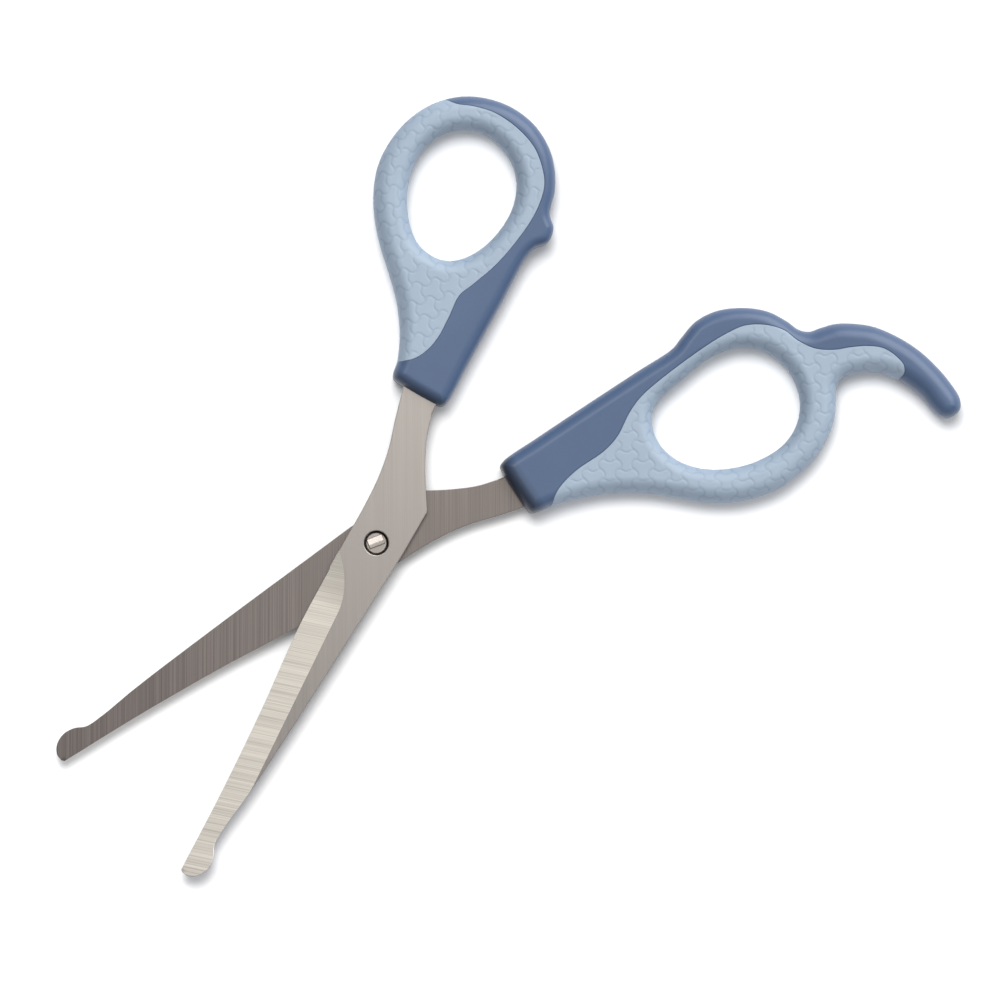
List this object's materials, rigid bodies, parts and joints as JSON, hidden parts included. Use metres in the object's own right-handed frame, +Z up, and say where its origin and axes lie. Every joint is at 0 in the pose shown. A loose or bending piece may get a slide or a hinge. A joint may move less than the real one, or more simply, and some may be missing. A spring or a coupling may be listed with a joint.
{
  "type": "pet grooming safety scissors",
  "caption": "Open grooming scissors with blunt rounded tips, ground steel blades, two-tone soft-grip finger loops and a curved finger rest.",
  "frame": {"origin": "middle of the underside of the bounding box; the open scissors lie on their side on z = 0", "axes": "+X along the bisector of the open blades towards the tips, +Z up through the pivot, away from the screw head"},
  "size_m": [0.1652, 0.1122, 0.0082],
  "materials": {
    "blade_steel": "flats brushed along the blade, bevels ground across it",
    "pivot_steel": "turned and staked steel",
    "dark_blue_plastic": "satin moulded plastic",
    "light_blue_grip": "soft satin overmould with a shallow interlocking relief"
  },
  "bodies": {
    "lower_lever": {"lower_blade": "blade_steel", "lower_handle_core": "dark_blue_plastic", "lower_grip": "light_blue_grip"},
    "upper_lever": {"upper_blade": "blade_steel", "upper_handle_core": "dark_blue_plastic", "upper_grip": "light_blue_grip", "pivot_screw": "pivot_steel", "tension_washer": "pivot_steel"}
  },
  "joints": [
    {"name": "pivot", "type": "hinge", "parent": "lower_lever", "child": "upper_lever", "pos_m": [0.01306, -0.00665, 0.0041], "axis": [0, 0, 1], "range_deg": [-26.7, 120]}
  ]
}
